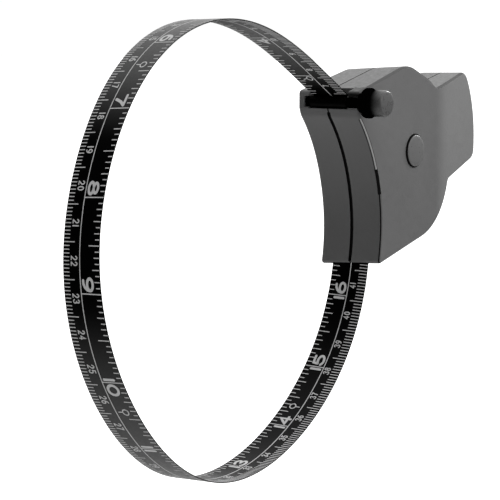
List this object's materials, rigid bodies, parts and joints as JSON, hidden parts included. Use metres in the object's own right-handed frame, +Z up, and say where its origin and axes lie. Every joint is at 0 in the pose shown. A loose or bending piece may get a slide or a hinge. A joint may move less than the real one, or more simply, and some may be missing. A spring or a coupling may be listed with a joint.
{
  "type": "retractable tape measure",
  "caption": "Palm-sized retractable body tape measure: concave case with push-button brake, spring-wound spool, and a tape looped back to a lock pin in the nose groove.",
  "frame": {"origin": "where the spool axis meets the flat outer face of the far side shell", "axes": "+Y out of the far flat face (the button side is -Y), +X from the lock-pin nose towards the grip tail, +Z up with the tape leaving the case downward"},
  "size_m": [0.1972, 0.0322, 0.1339],
  "materials": {
    "case": "fine satin moulded grey",
    "button": "fine satin moulded grey",
    "pin": "polished black",
    "tape": "coated woven glass-fibre strip, satin black",
    "white_plastic": "natural moulded",
    "bearing": "self-lubricating plastic",
    "steel": "zinc plated",
    "spring_steel": "tempered",
    "rubber": "moulded"
  },
  "bodies": {
    "case": {"button_side_shell": "case", "far_side_shell": "case", "case_screws": "steel", "spool_axle": "white_plastic", "thrust_washer": "white_plastic", "retaining_washer": "steel", "axle_screw": "steel", "tape_exit_run": "tape", "lever_pivot_pin": "steel", "power_spring": "spring_steel", "button_spring": "spring_steel", "brake_leaf_spring": "spring_steel"},
    "spool": {"spool_drum": "white_plastic", "spool_side_flange": "white_plastic", "spool_bush": "bearing", "tape_coil": "tape", "spring_cover": "white_plastic", "brake_ring": "rubber"},
    "button": {"push_button": "button"},
    "brake": {"brake_lever": "white_plastic", "brake_pad": "rubber"},
    "loop": {"tape_loop": "tape", "tape_end_sleeve": "tape"},
    "pin": {"lock_pin": "pin"}
  },
  "joints": [
    {"name": "spool_spin", "type": "hinge", "parent": "case", "child": "spool", "pos_m": [0, -0.0113, 0], "axis": [0, 1, 0], "range_deg": [-1500, 5000], "deforming": ["power_spring"]},
    {"name": "button_press", "type": "slide", "parent": "case", "child": "button", "axis": [0, 1, 0], "range_m": [0, 0.0015], "deforming": ["button_spring"]},
    {"name": "brake_lever_tilt", "type": "hinge", "parent": "case", "child": "brake", "pos_m": [0.012, -0.0203, 0], "axis": [0, 0, -1], "range_deg": [0, 7.5], "deforming": ["brake_leaf_spring"]},
    {"name": "tape_loop_open", "type": "hinge", "parent": "case", "child": "loop", "pos_m": [-0.0363, -0.0113, -0.0677], "axis": [0, -1, 0], "range_deg": [0, 40]},
    {"name": "lock_pin_turn", "type": "hinge", "parent": "loop", "child": "pin", "pos_m": [-0.0325, -0.0113, 0.01683], "axis": [0, 1, 0], "continuous": true}
  ],
  "couplings": [
    {"joint": "brake_lever_tilt", "follows": "button_press", "rad_per_m": 83.33}
  ]
}
